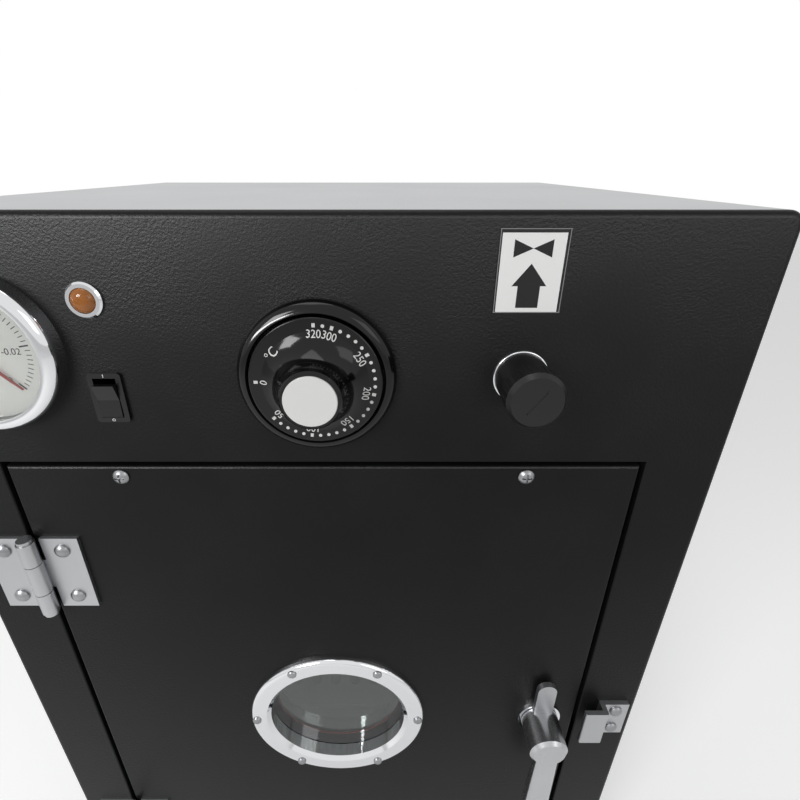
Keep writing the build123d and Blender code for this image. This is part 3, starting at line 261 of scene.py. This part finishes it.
# %% Finish of every node
finishes = {
    black_powder: ("front_frame", "door_skin"),
    cover_steel: ("casing_cover",),
    zinc_sheet: ("base_pan", "rear_panel", "divider", "chamber_stands", "door_rails", "latch_nut"),
    chamber_steel: ("chamber_shell", "chamber_flange", "chamber_ribs", "shelf_rails", "door_plate",
                    "chamber_port", "frame_hinges", "door_hinges", "latch_keeper", "latch_cam",
                    "gauge_case"),
    shelf_metal: ("shelves",),
    screw_metal: ("foot_screws", "casing_screws", "door_screws", "window_screws", "latch_spindle",
                  "thermostat_spindle"),
    handle_metal: ("latch_lever",),
    chrome: ("release_ring", "gauge_bezel", "window_bezel", "lamp_holder", "latch_bush"),
    copper: ("thermostat_capillary", "vacuum_tubes"),
    brass: ("release_body", "release_spindle", "release_needle", "manifold_block", "vacuum_nozzle"),
    gloss_black: ("thermostat_knob", "thermostat_bezel"),
    satin_black: ("release_knob", "thermostat_body", "power_inlet", "switch_housing", "switch_rocker"),
    white_plastic: ("thermostat_cap",),
    foot_rubber: ("feet",),
    silicone: ("door_gasket", "window_gasket"),
    mica: ("heater_pads",),
    wool: ("chamber_insulation", "door_insulation"),
    label_film: ("label_plate",),
    enamel: ("gauge_dial",),
    ink_red: ("gauge_pointer",),
    window_glass: ("window_glass",),
    gauge_glass: ("gauge_glass",),
    amber_lens: ("lamp_lens",),
}
for finish, names in finishes.items():
    for name in names:
        nodes[name].data.materials.clear()
        nodes[name].data.materials.append(finish)
print("finishes:", len(finishes), "nodes dressed:", sum(len(names) for names in finishes.values()))

# %% [markdown]
# Printing is ink with a real thickness. Each mark is an outline in two dimensions that is given two
# faces and a rim, so it is closed all round. A place on the front turns the outline's right, up and
# outward directions into the oven's axes. Many marks are gathered into one mesh, so that a whole
# scale is one piece.

# %% Marks as thin solids
INK = 0.06 * MM


def prism(outline, thick=INK):
    """Closed slice: the outline once at the back and once at the front, joined by a rim of quads."""
    outline = np.asarray(outline, float)
    count = len(outline)
    back = np.column_stack([outline, np.zeros(count)])
    front = np.column_stack([outline, np.full(count, thick)])
    ring = np.arange(count)
    after = (ring + 1) % count
    sides = np.column_stack([ring, after, after + count, ring + count]).tolist()
    return np.vstack([back, front]), sides + [ring[::-1].tolist(), (ring + count).tolist()]


def circle(radius, centre=(0, 0), count=28):
    """Points round a circle, counter-clockwise."""
    turn = np.linspace(0, 2 * np.pi, count, endpoint=False)
    return np.column_stack([centre[0] + radius * np.cos(turn), centre[1] + radius * np.sin(turn)])


def bar(width, height, centre=(0, 0)):
    """Corners of a rectangle, counter-clockwise."""
    corners = np.array([(-1, -1), (1, -1), (1, 1), (-1, 1)]) / 2
    return corners * (width, height) + centre


def turn_about(outline, angle):
    """Turn points clockwise, as a dial is read, by an angle in degrees."""
    a = math.radians(angle)
    rotation = np.array([[math.cos(a), -math.sin(a)], [math.sin(a), math.cos(a)]])
    return np.asarray(outline) @ rotation


def lettering(text, height, weight=0.0):
    """Closed mesh of a short text, centred, its digits height tall, its strokes made fuller by weight."""
    curve = bpy.data.curves.new("text", "FONT")
    curve.body = text
    curve.align_x = "CENTER"
    curve.extrude = 0.5
    curve.offset = weight
    holder = bpy.data.objects.new("text", curve)
    mesh = bpy.data.meshes.new_from_object(holder)
    points = np.empty(len(mesh.vertices) * 3)
    mesh.vertices.foreach_get("co", points)
    points = points.reshape(-1, 3)
    faces = [list(polygon.vertices) for polygon in mesh.polygons]
    bpy.data.objects.remove(holder)
    digit_height = 0.69
    middle = (points[:, :2].min(0) + points[:, :2].max(0)) / 2
    points[:, :2] = (points[:, :2] - (middle[0], digit_height / 2)) * height / digit_height
    points[:, 2] = (points[:, 2] + 0.5) * INK
    return points, faces


def gather(name, parts, finish, origin, body):
    """One piece from many slices, set on the front: local x right, y up, z out of the front."""
    points, faces, start = [], [], 0
    for part_points, part_faces in parts:
        points.append(part_points)
        faces += [[index + start for index in face] for face in part_faces]
        start += len(part_points)
    flat = np.vstack(points)
    placed = np.column_stack([flat[:, 0] + origin[0], origin[1] - flat[:, 2], flat[:, 1] + origin[2]])
    mesh = bpy.data.meshes.new(name)
    mesh.from_pydata(placed.tolist(), [], faces)
    mesh.materials.append(finish)
    piece = bpy.data.objects.new(name, mesh)
    scene.collection.objects.link(piece)
    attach(piece, body)
    print(name, "-", len(faces), "faces")
    return piece


def centre_of(node):
    """Middle of a node's box."""
    low, high = (Vector(corner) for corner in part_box(node))
    return (low + high) / 2


def front_of(node):
    """The node's frontmost place along the depth."""
    return min(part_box(node)[0][1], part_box(node)[1][1])


# %% [markdown]
# The dial's scale is linear: 270 degrees of turn carry 320 degrees Celsius, and the figures grow
# against the clock because the dial turns and the index stands still. Dots mark every ten degrees
# and small squares mark the round figures. The figures reach onto the flare of the stem, so every
# point of the print is lifted by the height of that flare at its own distance from the axis.

# %% The dial's scale
dial = centre_of("thermostat_knob")
skirt_proud = 8.3 * MM
dial_face = (dial.x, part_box("front_frame")[0][1] - skirt_proud, dial.z)
DEGREES_PER_C = 270 / 320
SCALE_SHIFT = 1.0
DOT_RING = 26.6 * MM
FIGURE_RING = 23.1 * MM
FIGURE_SQUEEZE = 0.92
FIGURE_HEIGHT = 3.3 * MM
UNIT_HEIGHT = 4.0 * MM
UNIT_ANGLE = -52.6
STROKE_WEIGHT = 0.003
DOT_RADIUS = 0.78 * MM
SQUARE = (1.4 * MM, 1.8 * MM)
FIGURES = (0, 50, 100, 150, 200, 250, 300, 320)


def dial_angle(celsius):
    """Clockwise angle of a temperature from the top of the dial, with 320 at the index."""
    return (320 - celsius) * DEGREES_PER_C + SCALE_SHIFT


# The flare in section is an arc through three points of (radius, height over the front).
flare = np.array([(24.0, 8.3), (15.7, 14.7), (13.3, 26.6)]) * MM
flare_centre = np.linalg.solve(2 * (flare[1:] - flare[0]),
                               (flare[1:] ** 2).sum(1) - (flare[0] ** 2).sum())
flare_radius = np.linalg.norm(flare[0] - flare_centre)


def on_flare(part):
    """Lift a slice onto the flare, by the height of the arc at each point's distance from the axis."""
    points, faces = part
    reach = np.minimum(np.hypot(points[:, 0], points[:, 1]), flare[0, 0])
    rise = flare_centre[1] - np.sqrt(flare_radius ** 2 - (flare_centre[0] - reach) ** 2) - flare[0, 1]
    return np.column_stack([points[:, :2], points[:, 2] + rise]), faces


marks = []
for celsius in range(50, 321, 10):
    if celsius not in FIGURES:
        marks.append(prism(turn_about(circle(DOT_RADIUS, (0, DOT_RING)), dial_angle(celsius))))
for celsius in FIGURES:
    marks.append(prism(turn_about(bar(*SQUARE, (0, DOT_RING)), dial_angle(celsius))))
for celsius in FIGURES:
    points, faces = lettering(str(celsius), FIGURE_HEIGHT, STROKE_WEIGHT)
    upright = points[:, :2] * (FIGURE_SQUEEZE, 1) + (0, FIGURE_RING)
    points[:, :2] = turn_about(upright, dial_angle(celsius))
    marks.append((points, faces))
points, faces = lettering("°C", UNIT_HEIGHT, STROKE_WEIGHT)
points[:, :2] = turn_about(points[:, :2] + (0, FIGURE_RING), UNIT_ANGLE)
marks.append((points, faces))
lifted = [on_flare(part) for part in marks]
gather("dial_scale", lifted, ink_white, dial_face, "thermostat_dial")

# %% [markdown]
# The label over the valve is a white panel printed on dark film, with an arrow that points up. The
# panel's upper part carries the drafting symbol for a valve, two triangles tip to tip.

# %% The label
label = centre_of("label_plate")
label_y = front_of("label_plate")
panel_left = -13.45 * MM
panel_width = 26.4 * MM
panel_height = 32.7 * MM
panel_top = 15.7 * MM
panel_middle = panel_left + panel_width / 2
panel = [prism(bar(panel_width, panel_height, (panel_middle, panel_top - panel_height / 2)))]
gather("label_panel", panel, label_white, (label.x, label_y, label.z), "casing")
head_tip = panel_top - 12.3 * MM
head_base = panel_top - 21.6 * MM
stem_end = panel_top - 30.9 * MM
head_half = 7.35 * MM
stem_half = 4.75 * MM
arrow = np.array([(0, head_tip), (-head_half, head_base), (-stem_half, head_base),
                  (-stem_half, stem_end), (stem_half, stem_end), (stem_half, head_base),
                  (head_half, head_base)]) + (panel_middle, 0)
symbol_middle = (panel_middle, panel_top - 6.2 * MM)
wing_length = 8.0 * MM
wing_half = 3.6 * MM
wings = [prism(np.array([(0, 0), (side * wing_length, -side * wing_half),
                         (side * wing_length, side * wing_half)]) + symbol_middle) for side in (-1, 1)]
gather("label_arrow", [prism(arrow)] + wings, ink_black,
       (label.x, label_y - INK, label.z), "casing")

# The thin grey strips round the film's border are a painted highlight: they stand in for light caught on
# the cut edge of the clear film.
film_half_width = (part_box("label_plate")[1][0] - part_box("label_plate")[0][0]) / 2
film_half_height = (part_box("label_plate")[1][2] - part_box("label_plate")[0][2]) / 2
edge = 0.3 * MM
highlight_bars = [prism(bar(2 * film_half_width, edge, (0, side * (film_half_height - edge))))
            for side in (-1, 1)]
highlight_bars += [prism(bar(edge, 2 * film_half_height - 3 * edge, (side * (film_half_width - edge), 0)))
             for side in (-1, 1)]
gather("label_edge_highlight", highlight_bars, edge_highlight_paint, (label.x, label_y, label.z), "casing")

# %% [markdown]
# The mains switch carries the two international marks, a bar for on and a ring for off, moulded
# into its frame above and below the rocker.

# %% The switch's marks
switch = centre_of("switch_housing")
switch_y = front_of("switch_housing")
mark_rise = 11.3 * MM
mark_height = 1.5 * MM
bar_width = 0.4 * MM
RING_SIDES = 20
RING_HOLE = 0.62
middle = np.array([0, -mark_rise])
ring_points = circle(mark_height / 2, middle, RING_SIDES)
on_off = [prism(bar(bar_width, mark_height, (0, mark_rise)))]
for a, b in zip(ring_points, np.roll(ring_points, -1, axis=0)):
    inner_a, inner_b = (middle + (corner - middle) * RING_HOLE for corner in (a, b))
    on_off.append(prism(np.array([a, b, inner_b, inner_a])))
gather("switch_marks", on_off, ink_white, (switch.x, switch_y, switch.z), "casing")

# %% [markdown]
# A vacuum gauge reads from 0 at the right end of its scale down to -0.1 at the left. Long ticks
# mark each figure and short ones divide the spaces between them.

# %% The gauge's scale
gauge = centre_of("gauge_dial")
gauge_y = front_of("gauge_dial")
TICK_RING = 24.5 * MM
SWEEP = 270
TICKS = 50
TICKS_A_FIGURE = 10
LONG_TICK = (0.7 * MM, 4.2 * MM)
SHORT_TICK = (0.35 * MM, 2.4 * MM)
GAUGE_FIGURE = 3.0 * MM
GAUGE_UNIT = 3.2 * MM
figure_reach = TICK_RING - 8.6 * MM
unit_drop = 16.5 * MM
ticks = []
for step in range(TICKS + 1):
    width, height = SHORT_TICK if step % TICKS_A_FIGURE else LONG_TICK
    tick = bar(width, height, (0, TICK_RING - height / 2))
    ticks.append(prism(turn_about(tick, -SWEEP / 2 + SWEEP * step / TICKS)))
for step, figure in enumerate(("-0.1", "-0.08", "-0.06", "-0.04", "-0.02", "0")):
    points, faces = lettering(figure, GAUGE_FIGURE)
    angle = math.radians(-SWEEP / 2 + SWEEP * step * TICKS_A_FIGURE / TICKS)
    points[:, :2] += (figure_reach * math.sin(angle),
                      figure_reach * math.cos(angle) - GAUGE_FIGURE / 2)
    ticks.append((points, faces))
points, faces = lettering("MPa", GAUGE_UNIT)
points[:, 1] -= unit_drop
ticks.append((points, faces))
gather("gauge_scale", ticks, ink_black, (gauge.x, gauge_y, gauge.z), "casing")

# %% [markdown]
# The studio is white all round. Its full brightness is kept for what the camera sees directly, off a
# shiny surface or through glass, and matt surfaces get less of it, so that the lamps shape them.

# %% Studio: floor and world
FLOOR_REACH = 6.0
FLOOR_GLOW = 0.3
SKY_ON_MATT = 0.28
SKY_SEEN = 1.0


def background_rays(tree):
    """One for rays that find the bright background: from the camera, off metal, through glass."""
    path = add(tree, "ShaderNodeLightPath").outputs
    through = add(tree, "ShaderNodeMath", operation="MAXIMUM",
                  links={0: path["Is Camera Ray"], 1: path["Is Transmission Ray"]})
    return add(tree, "ShaderNodeMath", operation="MAXIMUM",
               links={0: through.outputs["Value"], 1: path["Is Glossy Ray"]}).outputs["Value"]


def sweep_floor():
    """Pale floor, a square well outside the view."""
    mesh = bpy.data.meshes.new("floor")
    corners = [(x * FLOOR_REACH, y * FLOOR_REACH, 0) for x, y in ((-1, -1), (1, -1), (1, 1), (-1, 1))]
    mesh.from_pydata(corners, [], [(0, 1, 2, 3)])
    floor = bpy.data.objects.new("floor", mesh)
    scene.collection.objects.link(floor)
    material, tree, shader, place = blank_material("Pale studio floor")
    grain = add(tree, "ShaderNodeTexNoise", {"Scale": per_metre(8)}, {"Vector": place})
    rough = add(tree, "ShaderNodeMapRange", {"To Min": 0.55, "To Max": 0.65},
                {"Value": grain.outputs["Fac"]})
    lift = add(tree, "ShaderNodeMath", {1: FLOOR_GLOW}, {0: background_rays(tree)},
               operation="MULTIPLY")
    shader.inputs["Base Color"].default_value = linear("#f2f2f2")
    shader.inputs["Emission Color"].default_value = linear("#ffffff")
    tree.links.new(lift.outputs["Value"], shader.inputs["Emission Strength"])
    tree.links.new(rough.outputs["Result"], shader.inputs["Roughness"])
    mesh.materials.append(material)


sweep_floor()
world = bpy.data.worlds.new("Studio")
scene.world = world
world.use_nodes = True
sky = world.node_tree
sky.nodes.clear()
level = add(sky, "ShaderNodeMapRange", {"To Min": SKY_ON_MATT, "To Max": SKY_SEEN},
            {"Value": background_rays(sky)})
air = add(sky, "ShaderNodeBackground", {"Color": linear("#ffffff")},
          {"Strength": level.outputs["Result"]})
add(sky, "ShaderNodeOutputWorld", links={"Surface": air.outputs["Background"]})


# %% [markdown]
# A large soft lamp stands up and to the left in front of the oven, one hangs over it, and a weaker
# one fills from the right. Black paint shows hardly any of their light, and what makes it readable
# is its sheen. Two long lamps that only glossy rays see are therefore set where the fascia mirrors
# them along its top edge. A third, in the place of the left one but weaker, draws the highlight on
# the dial's ring and the knob. Light linking keeps each on the nodes that it is meant for.

# %% Lamps
def softbox(name, place, target, width, height, watts):
    """Rectangular lamp that faces a target."""
    lamp = bpy.data.lights.new(name, "AREA")
    lamp.shape = "RECTANGLE"
    lamp.size = width
    lamp.size_y = height
    lamp.energy = watts
    holder = bpy.data.objects.new(name, lamp)
    holder.location = place
    holder.rotation_euler = (Vector(target) - Vector(place)).to_track_quat("-Z", "Y").to_euler()
    scene.collection.objects.link(holder)
    return holder


fascia = (0.0, cad_box[0][1], 0.50)
softbox("key_lamp", place=(-0.9, -1.3, 1.15), target=fascia, width=0.6, height=0.5, watts=13)
softbox("top_lamp", place=(-0.1, 0.1, 1.7), target=(0, 0, 0.5), width=1.0, height=0.8, watts=5)
softbox("fill_lamp", place=(1.3, -1.4, 1.3), target=(0, -0.1, 0.3), width=0.9, height=0.9, watts=4)


def sheen(name, place, width, height, watts, receivers):
    """Lamp that only makes highlights, and only on the nodes named."""
    lamp = softbox(name, place, fascia, width, height, watts)
    lamp.visible_diffuse = False
    lamp.light_linking.receiver_collection = bpy.data.collections.new(name)
    for receiver in receivers:
        lamp.light_linking.receiver_collection.objects.link(nodes[receiver])


left_place = (-0.85, -1.35, 0.72)
right_place = (0.35, -1.35, 0.78)
painted = ("front_frame", "door_skin")
sheen("sheen_left", left_place, width=0.9, height=0.22, watts=50, receivers=painted)
sheen("sheen_right", right_place, width=1.6, height=0.60, watts=30, receivers=painted)
sheen("sheen_knobs", left_place, width=0.9, height=0.22, watts=28,
      receivers=("thermostat_bezel", "release_knob"))

# %% [markdown]
# The camera stands just above the fascia's top edge, close in front of it, and looks down at about
# 26 degrees. So near, a wide lens is needed, and the panel narrows strongly towards the top.

# %% Camera
front_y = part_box("front_frame")[0][1]
top_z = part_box("front_frame")[1][2]
FOCAL_PX = 489.2
IMAGE_PX = 800
AXIS_PX = 380.1
PITCH_DOWN = 25.61
RIGHT_OF_MIDDLE = 28.7 * MM
BEFORE_FRONT = 207.7 * MM
OVER_TOP = 16.0 * MM
lens = bpy.data.cameras.new("camera")
lens.sensor_width = 36
lens.lens = FOCAL_PX / IMAGE_PX * lens.sensor_width
lens.shift_x = (IMAGE_PX / 2 - AXIS_PX) / IMAGE_PX
lens.clip_start = 0.01
camera = bpy.data.objects.new("camera", lens)
camera.location = (RIGHT_OF_MIDDLE, front_y - BEFORE_FRONT, top_z + OVER_TOP)
camera.rotation_euler = (math.radians(90 - PITCH_DOWN), 0, 0)
scene.collection.objects.link(camera)
scene.camera = camera
scene.view_settings.view_transform = "Standard"
